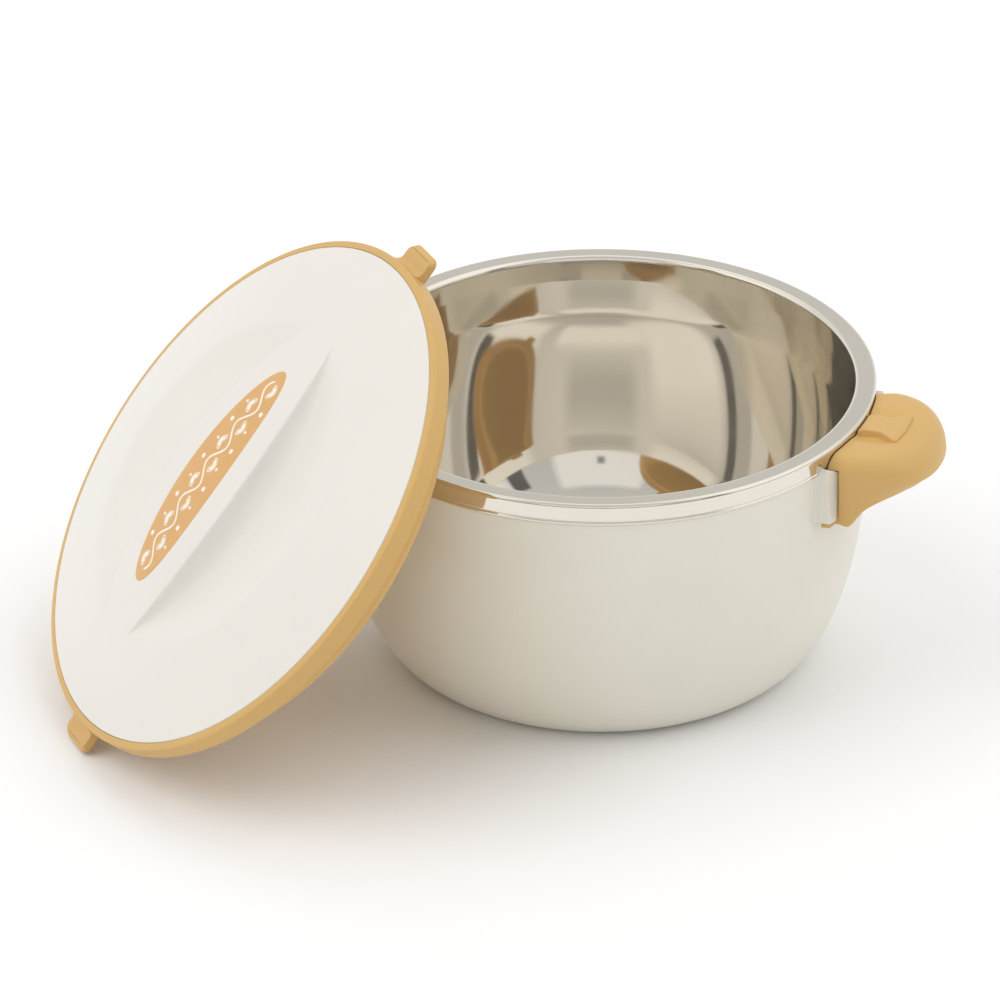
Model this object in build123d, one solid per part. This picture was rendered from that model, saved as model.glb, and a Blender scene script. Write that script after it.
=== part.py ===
from build123d import *
from math import radians, tan
import os

# Thermal serving bowl with its lift-off lid leaning on the rim.
# Millimetres. The origin is the centre of the base, +Z is up, and the two ear handles lie on +X and -X.

# Clearances
GAP = 0.3
INLAY_GAP = 0.15
LEAN_GAP = 0.1

# Polished liner of the bowl
RIM_R = 125.0
RIM_INNER_R = RIM_R - 9.7
RIM_EDGE_R = 3.0
RIM_LIP_R = 1.5
BOWL_H = 136.0
BAND_H = 10.0
BAND_Z = BOWL_H - BAND_H
STEEL_T = 0.8
NECK_H = 9.0
NECK_STEP_H = 2.0
WALL_R = RIM_INNER_R - 1.7
WALL_H = 30.0
FLOOR_R = 72.0
FLOOR_Z = 15.0

# Plastic outside of the bowl
SHELL_R = RIM_R - STEEL_T - GAP
SHELL_T = 2.5
SHELL_TOP = BOWL_H - RIM_EDGE_R - GAP
SHELL_LOW_R = SHELL_R - 1.9
SHELL_TAPER_H = 31.0
BASE_R = 87.0
FOOT_W = 6.0
FOOT_H = 2.0
FILL_HOLE_R = 9.0
FILL_FLANGE_W = 3.0
FILL_PLUG_T = 1.6

# Ear handles: x is measured outwards from the bowl's axis, y along the rim, drops down from the rim's top
EAR_BACK_X = RIM_R - 11.0
EAR_BACK_DROP = 12.3
EAR_CENTRE_X = RIM_R + 5.0
EAR_NOSE_X = RIM_R + 37.0
EAR_HALF_W = 36.0
EAR_CREST_X = RIM_R + 18.0
EAR_CREST_DROP = 2.3
EAR_FRONT_X = EAR_NOSE_X + 4.0
EAR_FRONT_DROP = 10.0
EAR_SHOULDER_R = 9.0
EAR_NOSE_DROP = 20.0
EAR_KNEE_X = RIM_R + 13.0
EAR_KNEE_DROP = 25.5
EAR_ROOT_X = RIM_R + 4.5
EAR_ROOT_DROP = 38.0
EAR_LIP_R = 1.5
EAR_SKIN = 3.0
EAR_RIM_GAP = 1.3
PAD_DROP = 1.3
PAD_X = RIM_R + 18.6
PAD_SAG = 1.4
PAD_INNER_HALF = 9.6
PAD_OUTER_HALF = 16.4
PAD_EDGE_R = 0.8

# Cream lugs on the shell, which hold the ends of the handles
LUG_INNER_Y = EAR_HALF_W - 2.7
LUG_X = RIM_R + 1.0
LUG_FOOT_X = RIM_R - 9.0
LUG_FOOT_Y = EAR_HALF_W + 5.0
LUG_TOP_DROP = 8.0
LUG_LOW_DROP = EAR_ROOT_DROP - 2.5
SNAP_T = 2.0
SNAP_Y = EAR_HALF_W + 2.0
PEG_X = RIM_R - 2.0
PEG_DROP = 22.0
PEG_R = 2.0
PEG_L = 1.6

# Lid in its own frame: its z = 0 plane sits on the rim when the lid is closed, and its tabs lie on x
RING_R = RIM_R + 1.2
RING_H = 8.5
DOME_EDGE_R = RING_R - 3.6
DOME_EDGE_H = 9.2
DOME_TOP_H = 30.2
DOME_T = 2.2
LID_WALL = 2.5
LID_PLUG_DEPTH = 14.5
LID_PLUG_R = WALL_R - 1.4
LID_PLUG_CORNER_R = 4.0
TAB_R = RING_R + 11.0
TAB_HALF_W = 11.0
TAB_T = 4.0
TAB_CORNER_R = 3.5
TAB_BEVEL = 2.3
LID_FILL_R = 8.0

# Dome of the lid, with finger scoops on both sides of a grip ridge
DOME_RISE = DOME_TOP_H - DOME_EDGE_H
DOME_SPHERE_R = (DOME_EDGE_R**2 + DOME_RISE**2) / (2 * DOME_RISE)
DOME_CENTRE_Z = DOME_TOP_H - DOME_SPHERE_R
RING_INNER_R = DOME_EDGE_R + INLAY_GAP
SCOOP_R = 84.0
SCOOP_DEPTH = 15.0
RIDGE_HALF_W = 30.0
RIDGE_SIDE_R = 195.0
RIDGE_DRAFT = 14.0
RIDGE_HEAD = 3.0
RIDGE_ROOT_R = 7.0
RIDGE_SHOULDER_R = 5.0
INSERT_L = 115.0
INSERT_W = 31.0
INSERT_T = 1.2

# How the lid leans
LEAN_TILT = 49.7
LEAN_AZIMUTH = -137.4
LID_TWIST = 2.4

UPWARDS = (Align.CENTER, Align.CENTER, Align.MIN)


def disc(radius, low, high):
    """Cylinder about Z between two heights."""
    return Pos(0, 0, low) * Cylinder(radius, high - low, align=UPWARDS)


def block(x_range, y_range, z_range):
    """Box between two values along each axis, given in either order."""
    sizes = [abs(high - low) for low, high in (x_range, y_range, z_range)]
    centre = [(high + low) / 2 for low, high in (x_range, y_range, z_range)]
    return Pos(*centre) * Box(*sizes)


def turned(edges):
    """Solid of revolution about Z of the area that a closed run of edges bounds in radius and height."""
    return revolve(Plane.XZ * make_face(edges), Axis.Z)


def bowl_form(floor_r, floor_z, wall_r, wall_z, top_points):
    """Round form with a flat floor, an elliptical corner and a wall that goes on through top_points."""
    corner = EllipticalCenterArc(
        (floor_r, wall_z), wall_r - floor_r, wall_z - floor_z, start_angle=270, arc_size=90
    )
    top_z = top_points[-1][1]
    rest = Polyline((wall_r, wall_z), *top_points, (0, top_z), (0, floor_z), (floor_r, floor_z))
    return turned([corner, *rest.edges()])


def cavity(grow):
    """The space inside the liner, grown outwards by a distance and closed at the rim's top."""
    neck_z = BOWL_H - NECK_H
    wall_r = WALL_R + grow
    neck_r = RIM_INNER_R + grow
    top_points = [(wall_r, neck_z - NECK_STEP_H), (neck_r, neck_z), (neck_r, BOWL_H)]
    return bowl_form(FLOOR_R, FLOOR_Z - grow, wall_r, BOWL_H - WALL_H, top_points)


def shell_form(inset, base_z):
    """The outside of the bowl below the rim, moved inwards by a distance, with its base at base_z."""
    wall_r = SHELL_R - inset
    top_points = [(wall_r, BAND_Z), (wall_r, SHELL_TOP)]
    return bowl_form(BASE_R, base_z, SHELL_LOW_R - inset, BOWL_H - SHELL_TAPER_H, top_points)


def rim_form(inset):
    """The rolled rim as a full ring, moved inwards by a distance on its top and both sides."""
    ring = disc(RIM_R - inset, BAND_Z, BOWL_H - inset) - disc(RIM_INNER_R + inset, BAND_Z, BOWL_H)
    inner, outer = ring.edges().group_by(Axis.Z)[-1].sort_by(SortBy.LENGTH)
    return fillet(outer, RIM_EDGE_R - inset).fillet(RIM_LIP_R - inset, [inner])


def steel_liner():
    """Drawn steel pan with a short neck, a flat rolled rim and an outer band that hangs over the shell."""
    pan = cavity(STEEL_T) - cavity(0)
    pan -= disc(RIM_R, BOWL_H - RIM_LIP_R, BOWL_H)
    return pan + (rim_form(0) - rim_form(STEEL_T))


def peg(side, end, grow):
    """Round peg at an end of a handle, in the blind socket of its lug."""
    start = LUG_INNER_Y - GAP - EAR_SKIN / 2
    length = LUG_INNER_Y + PEG_L + grow - start
    centre = (side * PEG_X, end * (start + length / 2), BOWL_H - PEG_DROP)
    return Location(centre, (90, 0, 0)) * Cylinder(PEG_R + grow, length)


def lug(side, end):
    """One cream lug: a block whose outer end slants back into the wall of the shell."""
    inside = SHELL_LOW_R / 2
    plan = Polyline(
        (side * inside, end * LUG_INNER_Y),
        (side * LUG_X, end * LUG_INNER_Y),
        (side * LUG_X, end * EAR_HALF_W),
        (side * LUG_FOOT_X, end * LUG_FOOT_Y),
        (side * inside, end * LUG_FOOT_Y),
        close=True,
    )
    block = extrude(make_face(plan), LUG_LOW_DROP - LUG_TOP_DROP, dir=(0, 0, 1))
    block = Pos(0, 0, BOWL_H - LUG_LOW_DROP) * block
    block -= shell_form(SHELL_T / 2, 0)
    block -= disc(RIM_R + GAP, BAND_Z - GAP, BOWL_H)
    return block - peg(side, end, INLAY_GAP)


def outer_shell():
    """Rounded plastic outside with a foot ring, a lip under the steel rim and four handle lugs."""
    shell = shell_form(0, 0) - shell_form(SHELL_T, FOOT_H + SHELL_T)
    shell -= disc(BASE_R - FOOT_W, 0, FOOT_H)
    shell -= disc(FILL_HOLE_R, 0, FOOT_H + SHELL_T)
    for side in (1, -1):
        for end in (1, -1):
            shell += lug(side, end)
    return shell


def fill_plug(radius, wall):
    """Push-in plug for a foam filling hole, with its flange below z = 0 and its stem through the wall."""
    flange = disc(radius + FILL_FLANGE_W, -FILL_PLUG_T, 0)
    return flange + disc(radius - INLAY_GAP, 0, wall)


def base_fill_plug():
    """Plug in the middle of the base, clear of the surface that the foot ring stands on."""
    return Pos(0, 0, FOOT_H) * fill_plug(FILL_HOLE_R, SHELL_T)


def bowl_foam():
    """Rigid foam between the liner and the shell."""
    foam = shell_form(SHELL_T + GAP, FOOT_H + SHELL_T + GAP) - cavity(STEEL_T + GAP)
    return foam - disc(RIM_INNER_R + STEEL_T + GAP, BAND_Z - GAP, BOWL_H)


def ear_form(inset):
    """Outer form of the ear handle on +X. An inset gives the hollow in it, which is open below."""
    half = EAR_HALF_W - inset
    low = BOWL_H - EAR_ROOT_DROP - inset
    arc = EllipticalCenterArc(
        (EAR_CENTRE_X, 0), EAR_NOSE_X - inset - EAR_CENTRE_X, half, start_angle=270, arc_size=180
    )
    rest = Polyline(arc @ 1, (EAR_BACK_X, half), (EAR_BACK_X, -half), arc @ 0)
    plan = Pos(0, 0, low) * extrude(make_face([arc, *rest.edges()]), BOWL_H - low)

    top = BOWL_H - inset
    crown = ThreePointArc(
        (EAR_BACK_X, top - EAR_BACK_DROP), (EAR_CREST_X, top - EAR_CREST_DROP), (EAR_FRONT_X, top - EAR_FRONT_DROP)
    )
    if inset:
        under = [(EAR_FRONT_X, low), (EAR_BACK_X, low)]
    else:
        under = [
            (EAR_FRONT_X, BOWL_H - EAR_NOSE_DROP),
            (EAR_NOSE_X, BOWL_H - EAR_NOSE_DROP),
            (EAR_KNEE_X, BOWL_H - EAR_KNEE_DROP),
            (EAR_ROOT_X, low),
            (EAR_BACK_X, low),
        ]
    outline = Polyline(crown @ 1, *under, crown @ 0)
    side = extrude(Plane.XZ * make_face([crown, *outline.edges()]), EAR_HALF_W, both=True)
    ear = plan & side
    crown_edges = ear.faces().sort_by(Axis.Z)[-1].edges().filter_by(Axis.Y, reverse=True)
    return fillet(crown_edges, EAR_SHOULDER_R - inset)


def pad_form():
    """Flat pad on top of the ear on +X, wider outwards, under which the lid's tab ends."""
    arc = ThreePointArc((PAD_X, PAD_OUTER_HALF), (PAD_X + PAD_SAG, 0), (PAD_X, -PAD_OUTER_HALF))
    inner_x = (RIM_R**2 - PAD_INNER_HALF**2) ** 0.5
    rest = Polyline(arc @ 1, (inner_x, -PAD_INNER_HALF), (inner_x, PAD_INNER_HALF), arc @ 0)
    pad = extrude(make_face([arc, *rest.edges()]), EAR_BACK_DROP - PAD_DROP)
    rim = pad.faces().sort_by(Axis.Z)[-1].edges().sort_by(Axis.X)[-1]
    return Pos(0, 0, BOWL_H - EAR_BACK_DROP) * fillet(rim, PAD_EDGE_R)


def ear_handle(turn):
    """Thin ear handle with a pad on top, and with a peg and a snap foot at each end for its lugs."""
    end_y = LUG_INNER_Y - GAP
    lug_space = (BOWL_H - LUG_LOW_DROP - GAP, BOWL_H - LUG_TOP_DROP + GAP)
    ear = ear_form(0) + pad_form()
    hollow = ear_form(EAR_SKIN)
    for end in (1, -1):
        ear -= block((0, LUG_X + GAP), (end * end_y, end * LUG_FOOT_Y), lug_space)
        hollow -= block((0, LUG_X + GAP + EAR_SKIN), (end * (end_y - EAR_SKIN), end * LUG_FOOT_Y), (0, BOWL_H))
    ear -= hollow
    for end in (1, -1):
        low = BOWL_H - EAR_ROOT_DROP
        ear += block((SHELL_LOW_R / 2, LUG_X), (end * (end_y - EAR_SKIN), end * SNAP_Y), (low, low + SNAP_T))
        ear += peg(1, end, 0)
    ear -= disc(RIM_R + EAR_RIM_GAP, BAND_Z - GAP, BOWL_H)
    ear -= shell_form(-GAP, 0)
    return Rot(0, 0, turn) * ear


def sphere_height(radius, sphere_r, centre_z):
    """Height of the upper half of a sphere on the Z axis at a radius."""
    return centre_z + (sphere_r**2 - radius**2) ** 0.5


def cap_form(drop, low):
    """Solid between a flat at low and the dome's sphere, lowered square to itself by a distance."""
    sphere_r = DOME_SPHERE_R - drop
    edge_r = DOME_EDGE_R - drop
    points = [(r, sphere_height(r, sphere_r, DOME_CENTRE_Z)) for r in (0, edge_r / 2, edge_r)]
    rest = Polyline(points[-1], (edge_r, low), (0, low), points[0])
    return turned([ThreePointArc(*points), *rest.edges()])


def dish_form(drop):
    """The space above the shallow dish that both finger scoops share, lowered by a distance."""
    edge_z = sphere_height(SCOOP_R, DOME_SPHERE_R, DOME_CENTRE_Z)
    rise = edge_z - DOME_TOP_H + SCOOP_DEPTH
    dish_r = (SCOOP_R**2 + rise**2) / (2 * rise) + drop
    centre_z = edge_z - rise + dish_r - drop
    points = [(r, centre_z - (dish_r**2 - r**2) ** 0.5) for r in (0, SCOOP_R / 2, DOME_EDGE_R)]
    rest = Polyline(points[-1], (DOME_EDGE_R, 2 * DOME_TOP_H), (0, 2 * DOME_TOP_H), points[0])
    return turned([ThreePointArc(*points), *rest.edges()])


def ridge_form(drop):
    """The lens-shaped grip ridge between the scoops, wider at its foot than above the dome, where it starts."""
    shift = RIDGE_SIDE_R - RIDGE_HALF_W
    side_r = RIDGE_SIDE_R - drop - RIDGE_HEAD * tan(radians(RIDGE_DRAFT))
    lens = Pos(0, shift) * Circle(side_r) & Pos(0, -shift) * Circle(side_r)
    head = Pos(0, 0, DOME_TOP_H + RIDGE_HEAD) * lens
    depth = RIDGE_HEAD + SCOOP_DEPTH + 2 * DOME_T
    return extrude(head, depth, dir=(0, 0, -1), taper=-RIDGE_DRAFT)


def dome_form(drop, low):
    """Solid under the lid's top: the dome with the scoops taken out and the grip ridge left standing."""
    cap = cap_form(drop, low)
    dome = (cap - dish_form(drop)) + (cap & ridge_form(drop))
    for radius, depth in ((RIDGE_ROOT_R + drop, SCOOP_DEPTH), (RIDGE_SHOULDER_R - drop, 0)):
        sides = dome.faces().filter_by(GeomType.BSPLINE).edges()
        level = DOME_TOP_H - drop - depth
        dome = fillet(sides.filter_by(lambda edge: abs(edge.center().Z - level) < SCOOP_DEPTH / 4), radius)
    return dome


def insert_form(grow):
    """Elliptical disc let into the crest of the ridge, following the sphere, with its top flush."""
    prism = extrude(Ellipse(INSERT_L / 2 + grow, INSERT_W / 2 + grow), 2 * DOME_TOP_H)
    return (prism & cap_form(0, 0)) - cap_form(INSERT_T + grow, 0)


def lid_top():
    """Thin cream dome with two finger scoops, a grip ridge and the recess for its inlay."""
    dome = dome_form(0, LID_WALL) - dome_form(DOME_T, LID_WALL)
    return dome - insert_form(INLAY_GAP)


def grip_insert():
    """Thin elliptical inlay on the grip ridge."""
    return insert_form(0)


def lid_base_section(inset, top_z):
    """Section of the lid's lower half, or of the space in it when an inset is given."""
    plug_r = LID_PLUG_R - inset
    ring_r = RING_INNER_R if inset else RING_R
    return turned(
        Polyline(
            (0, inset - LID_PLUG_DEPTH),
            (plug_r, inset - LID_PLUG_DEPTH),
            (plug_r, inset),
            (ring_r, inset),
            (ring_r, RING_H),
            (RING_INNER_R, top_z),
            (0, top_z),
            close=True,
        ).edges()
    )


def tab(turn):
    """Flat lifting tab on the ring, with round corners and a bevel along its end."""
    plate = block((RING_INNER_R, TAB_R), (-TAB_HALF_W, TAB_HALF_W), (0, TAB_T))
    plate = fillet(plate.edges().filter_by(Axis.Z).group_by(Axis.X)[-1], TAB_CORNER_R)
    end = plate.edges().group_by(Axis.Z)[-1].sort_by(Axis.X)[-1]
    return Rot(0, 0, turn) * chamfer(end, TAB_BEVEL)


def lid_base():
    """Ochre underside of the lid: the ring with its tabs and the shallow plug that enters the bowl."""
    base = lid_base_section(0, DOME_EDGE_H)
    foot = base.edges().filter_by(GeomType.CIRCLE).group_by(Axis.Z)[0]
    base = fillet(foot, LID_PLUG_CORNER_R) - lid_base_section(LID_WALL, DOME_EDGE_H)
    base -= disc(LID_FILL_R, -LID_PLUG_DEPTH, LID_WALL - LID_PLUG_DEPTH)
    return base + tab(0) + tab(180)


def lid_fill_plug():
    """Plug in the middle of the lid's underside."""
    return Pos(0, 0, -LID_PLUG_DEPTH) * fill_plug(LID_FILL_R, LID_WALL)


def lid_foam():
    """Rigid foam that fills the lid between its underside and its dome."""
    inset = LID_WALL + GAP
    core = disc(LID_PLUG_R - inset, inset - LID_PLUG_DEPTH, inset)
    return core + dome_form(DOME_T + GAP, inset)


def leaning(piece):
    """Turn a piece of the lid from the lid's own frame to its slope, still at the origin."""
    return Rot(0, 0, LEAN_AZIMUTH) * Rot(0, LEAN_TILT, 0) * Rot(0, 0, LID_TWIST) * piece


def lean_place(underside):
    """Where the leaning lid stands: its lower tab on the table, its plug against the rim's round edge."""
    tilt = Vector(0, 0, 1).rotate(Axis.Y, LEAN_TILT)
    height = -leaning(underside).bounding_box().min.Z
    rim_x = RIM_R - RIM_EDGE_R
    rim_z = BOWL_H - RIM_EDGE_R
    reach = rim_x + ((rim_z - height) * tilt.Z + LID_PLUG_DEPTH + RIM_EDGE_R + LEAN_GAP) / tilt.X
    return Vector(reach, 0, height).rotate(Axis.Z, LEAN_AZIMUTH)


def save(name, piece):
    """Write one piece as a STEP file and print what it is."""
    print(f"{name:16s} valid {piece.is_valid}, {len(piece.solids())} solid, {piece.volume / 1000:.1f} cm3")
    export_step(piece, f"parts/{name}.step")


def main():
    """Build every piece of the bowl and of the lid, and write them."""
    os.makedirs("parts", exist_ok=True)
    save("steel_liner", steel_liner())
    save("outer_shell", outer_shell())
    save("bowl_foam", bowl_foam())
    save("base_fill_plug", base_fill_plug())
    save("handle_right", ear_handle(0))
    save("handle_left", ear_handle(180))

    underside = lid_base()
    place = lean_place(underside)
    print("lid stands at", place)
    lid = {
        "lid_base": underside,
        "lid_top": lid_top(),
        "lid_foam": lid_foam(),
        "grip_insert": grip_insert(),
        "lid_fill_plug": lid_fill_plug(),
    }
    for name, piece in lid.items():
        save(name, Pos(*place) * leaning(piece))


if __name__ == "__main__":
    main()
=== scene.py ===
import math

import bmesh
import bpy
import numpy as np
from bpy.props import FloatProperty, FloatVectorProperty, PointerProperty
from mathutils import Matrix, Vector


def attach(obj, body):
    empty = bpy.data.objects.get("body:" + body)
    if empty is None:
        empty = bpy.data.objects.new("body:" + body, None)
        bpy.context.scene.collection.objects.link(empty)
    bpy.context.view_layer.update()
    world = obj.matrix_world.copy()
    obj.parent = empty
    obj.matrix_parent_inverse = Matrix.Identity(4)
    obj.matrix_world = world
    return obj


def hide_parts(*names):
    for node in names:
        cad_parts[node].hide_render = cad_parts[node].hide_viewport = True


bl_info = {
    "name": "Thermal serving bowl",
    "version": (1, 0, 0),
    "blender": (4, 5, 0),
    "location": "View3D > Sidebar > Serving Bowl",
    "description": "Builds a thermal serving bowl and its leaning lid around the packed frame",
    "category": "Object",
}

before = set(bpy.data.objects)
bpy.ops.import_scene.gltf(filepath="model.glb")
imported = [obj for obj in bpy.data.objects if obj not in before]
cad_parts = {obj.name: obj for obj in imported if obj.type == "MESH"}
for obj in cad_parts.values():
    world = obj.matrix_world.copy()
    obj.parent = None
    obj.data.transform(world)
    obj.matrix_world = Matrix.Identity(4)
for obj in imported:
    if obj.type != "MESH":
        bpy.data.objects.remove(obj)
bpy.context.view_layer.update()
MM = 0.001
QUARTER = math.pi / 2
TURN = 2 * math.pi
CLEARANCE = 0.3 * MM
MATERIALS = {}


def length(description, millimetres):
    """A length that a user can change, given here in millimetres."""
    return FloatProperty(description=description, default=millimetres * MM, unit="LENGTH", precision=4)


def angle(description, degrees):
    """An angle that a user can change, given here in degrees."""
    return FloatProperty(description=description, default=math.radians(degrees), unit="ROTATION")


def number(description, value):
    """A plain number that a user can change."""
    return FloatProperty(description=description, default=value, min=0)


def colour(description, *shown):
    """A colour that a user can change, given here as the 8-bit values that it shows on a screen."""
    linear = [((c / 255 + 0.055) / 1.055) ** 2.4 for c in shown]
    return FloatVectorProperty(description=description, default=linear, subtype="COLOR", min=0, max=1)


class BowlSizes(bpy.types.PropertyGroup):
    """Sizes of the bowl, its liner and its shell."""

    height: length("From the table to the top of the rim", 136)
    rim_radius: length("Outside of the polished band", 124.99)
    mouth_radius: length("Inside of the flat rim", 115.1)
    rim_edge: length("Radius of the rim's outer edge", 1.7)
    rim_lip: length("Radius of the rim's inner edge", 2.4)
    band: length("Height of the polished band", 10)
    groove_top: length("From the band's lower edge up to the groove", 2.1)
    groove_width: length("Width of the groove round the band", 1.2)
    groove_depth: length("Depth of the groove round the band", 0.7)
    hem: length("How far the band is set in below the groove", 0.15)
    steel: length("Thickness of the sheet", 0.8)
    neck: length("Height of the stretch under the rim that widens most", 11.2)
    neck_step: length("How much narrower the neck is at its foot", 1.2)
    wall_radius: length("Inside of the wall where it starts to curve in", 112.7)
    wall_drop: length("From the rim down to where the wall starts to curve in", 27.6)
    floor_radius: length("Flat middle of the liner", 70.7)
    floor_height: length("From the table to the liner's floor", 16)
    floor_curve: number("2 is an ellipse, more is squarer", 1.85)
    shell_radius: length("Outside of the shell under the band", 123.9)
    shell_step: length("How far the shell's lip is set in under the band", 1.1)
    shell_low_radius: length("Outside of the shell where it starts to curve in", 122)
    shell_curve_drop: length("From the rim down to that place", 31)
    shell_wall: length("Thickness of the plastic", 2.5)
    base_radius: length("Outside of the foot ring", 87)
    foot_width: length("Width of the foot ring", 6)
    foot_height: length("Recess inside the foot ring", 2)


class HandleSizes(bpy.types.PropertyGroup):
    """Sizes of an ear handle and of the lugs that hold it."""

    root: length("Inner end of the form before the bowl's wall is cut away, from the axis", 116)
    centre: length("Centre of the rounded outline, from the bowl's axis", 130)
    nose: length("Reach of the handle, from the bowl's axis", 161.7)
    half_width: length("Half of the handle's width along the rim", 37.2)
    narrowing: number("Share by which the handle narrows at the rim", 0.035)
    outline: number("2 is an ellipse, more is squarer", 2.2)
    crest: length("Highest line of the crown, from the bowl's axis", 139.6)
    crest_drop: length("From the rim down to that line", 2.1)
    crown_nose: length("Radius of the crown outwards of its crest", 45)
    crown_rim: length("Radius of the crown inwards of its crest", 155)
    shoulder: length("Radius from the top to the side", 9)
    skin: length("Thickness of the plastic", 3)
    curl: length("How far the side comes in at its lower edge", 3)
    bulge: length("How far the side stands out above that", 0.3)
    lip: length("Radius of the lower edge", 1.2)
    gap: length("Between the handle and the rim", 0.5)
    valley: length("Depth of the two dips beside the pad", 2)
    pad_drop: length("From the rim down to the pad", 1.25)
    pad_reach: length("Outer corners of the pad, from the bowl's axis", 144.2)
    lug_drop: length("From the rim down to the lugs' tops", 6.4)
    lug_foot_drop: length("From the rim down to the lugs' feet", 35.5)
    lug_slope: number("Fall of the lugs' tops towards the handle", 0.57)
    lug_side: length("The lugs' outer faces, from the handle's middle", 40.5)


class LidSizes(bpy.types.PropertyGroup):
    """Sizes of the lid in its own frame, and how it leans."""

    ring_radius: length("Outside of the ring", 126.2)
    ring_height: length("Height of the ring's outer edge", 8.5)
    dome_radius: length("Outside of the cream dome", 122.6)
    dome_edge: length("Height of the dome's edge", 9.2)
    dome_top: length("Height of the dome's middle", 30.2)
    plug_radius: length("Outside of the plug that enters the bowl", 112.2)
    plug_depth: length("How far the plug enters the bowl", 14.5)
    wall: length("Thickness of the lid's lower half", 2.5)
    scoop_radius: length("Where the finger scoops fade into the dome", 79)
    scoop_depth: length("Depth of the scoops beside the middle of the ridge", 16)
    ridge_half: length("Half of the ridge's width at its middle", 30)
    ridge_side: length("Radius of the ridge's sides", 195)
    ridge_slope: angle("Steepness of the ridge's sides", 76)
    ridge_shoulder: length("Radius of the ridge's upper edge", 1.2)
    ridge_root: length("Radius where the ridge meets the scoop", 20)
    inlay_length: length("Length of the printed inlay", 115)
    inlay_width: length("Width of the printed inlay", 31)
    tab_reach: length("End of a lifting tab, from the lid's axis", 137)
    tab_half: length("Half of a tab's width", 11)
    tab_top: length("Height of a tab's flat part", 4.1)
    tab_corner: length("Radius of a tab's corners", 3.6)
    tilt: angle("Slope of the lid", 49.7)
    azimuth: angle("Way that the lid leans", -137.4)
    twist: angle("Turn of the ridge from the slope's line", 2.4)
    place: FloatVectorProperty(
        description="Middle of the ring's underside", subtype="TRANSLATION", unit="LENGTH",
        default=(-124.402 * MM, -114.394 * MM, 104.788 * MM),
    )


class Finishes(bpy.types.PropertyGroup):
    """Colours of the plastics and of the steel."""

    steel: colour("Polished steel", 231, 225, 213)
    pearl: colour("Pearl plastic of the bowl", 234, 230, 216)
    cream: colour("Plastic of the lid's dome", 234, 230, 222)
    ochre: colour("Plastic of the handles and of the lid's ring", 214, 173, 104)
    inlay: colour("Ground of the printed inlay", 222, 172, 108)
    print: colour("Printed motifs", 246, 240, 230)
    foam: colour("Rigid foam inside", 236, 226, 198)
    floor: colour("Floor and backdrop", 250, 250, 250)


class Studio(bpy.types.PropertyGroup):
    """Camera and light."""

    distance: length("From the bowl's axis to the camera, along the ground", 2807.31)
    camera_height: length("From the table to the camera", 1627.04)
    turn: angle("Direction of the camera round the bowl", 20)
    yaw: angle("Turn of the camera from the bowl's axis", -0.945)
    pitch: angle("How far the camera looks down", 29.017)
    roll: angle("Turn of the picture", -0.285)
    back: number("Light from behind the bowl", 0.90)
    front: number("Light from the camera's side", 0.60)
    zenith: number("Light from right above", 0.62)
    box: number("Light of the two side boxes", 1.15)
    left_lamp: number("Strength of the soft lamp on the left", 0.60)
    right_lamp: number("Strength of the soft lamp on the right", 0.38)


# Mesh tools


def ramp(value, start, end, top=1.0):
    """0 up to the start, 1 at the end and straight between them, also where the end is the lower one."""
    return np.clip((value - start) / (end - start), 0, top)


def smooth(share):
    """A share from 0 to 1 with soft ends."""
    return share * share * (3 - 2 * share)


def arc_corner(before, corner, after, radius, steps):
    """Points of a round corner between two straight runs."""
    before, corner, after = (np.array(p, float) for p in (before, corner, after))
    way_in = (corner - before) / np.linalg.norm(corner - before)
    way_out = (after - corner) / np.linalg.norm(after - corner)
    bend = math.acos(max(-1.0, min(1.0, float(way_in @ way_out))))
    if radius <= 0 or bend < 0.01:
        return [corner]
    reach = radius * math.tan(bend / 2)
    start = corner - way_in * reach
    normal = way_out - way_in * (way_in @ way_out)
    centre = start + normal / np.linalg.norm(normal) * radius
    side = (start - centre) / radius
    angles = np.linspace(0, bend, steps + 1)
    points = [centre + radius * (side * math.cos(a) + way_in * math.sin(a)) for a in angles]
    guard = min(0.12 * MM, reach)
    return [start - way_in * guard, *points, points[-1] + way_out * guard]


def rounded(points, steps):
    """A run of points (x, y, radius) with its inner corners rounded. The two ends stay as they are."""
    made = [np.array(points[0][:2], float)]
    for before, here, after in zip(points, points[1:], points[2:]):
        made += arc_corner(before[:2], here[:2], after[:2], here[2], steps)
    return np.array([*made, points[-1][:2]])


def rounded_loop(points, steps):
    """A closed run of points (x, y, radius) with all its corners rounded."""
    made = []
    for k, here in enumerate(points):
        after = points[(k + 1) % len(points)]
        made += arc_corner(points[k - 1][:2], here[:2], after[:2], here[2], steps)
    return np.array(made)


def ellipse_run(centre, half_x, half_z, start, end, steps):
    """Points on an ellipse between two angles."""
    angles = np.linspace(start, end, steps)
    return np.stack([centre[0] + half_x * np.cos(angles), centre[1] + half_z * np.sin(angles)], 1)


def split_long(points, longest):
    """The same run with its long straight pieces divided."""
    made = [points[0]]
    for a, b in zip(points[:-1], points[1:]):
        count = max(1, int(np.linalg.norm(b - a) / longest))
        made += [a + (b - a) * k / count for k in range(1, count + 1)]
    return np.array(made)


def grid_faces(rows, columns, wrap_rows=False, wrap_columns=False):
    """Quads of a grid of vertices that are stored row by row."""
    faces = []
    for i in range(rows if wrap_rows else rows - 1):
        for j in range(columns if wrap_columns else columns - 1):
            i2, j2 = (i + 1) % rows, (j + 1) % columns
            faces.append((i * columns + j, i * columns + j2, i2 * columns + j2, i2 * columns + j))
    return faces


def ring_faces(first, second):
    """Quads between two closed runs of vertex numbers."""
    after = [*range(1, len(first)), 0]
    return [(first[j], first[k], second[k], second[j]) for j, k in enumerate(after)]


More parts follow.
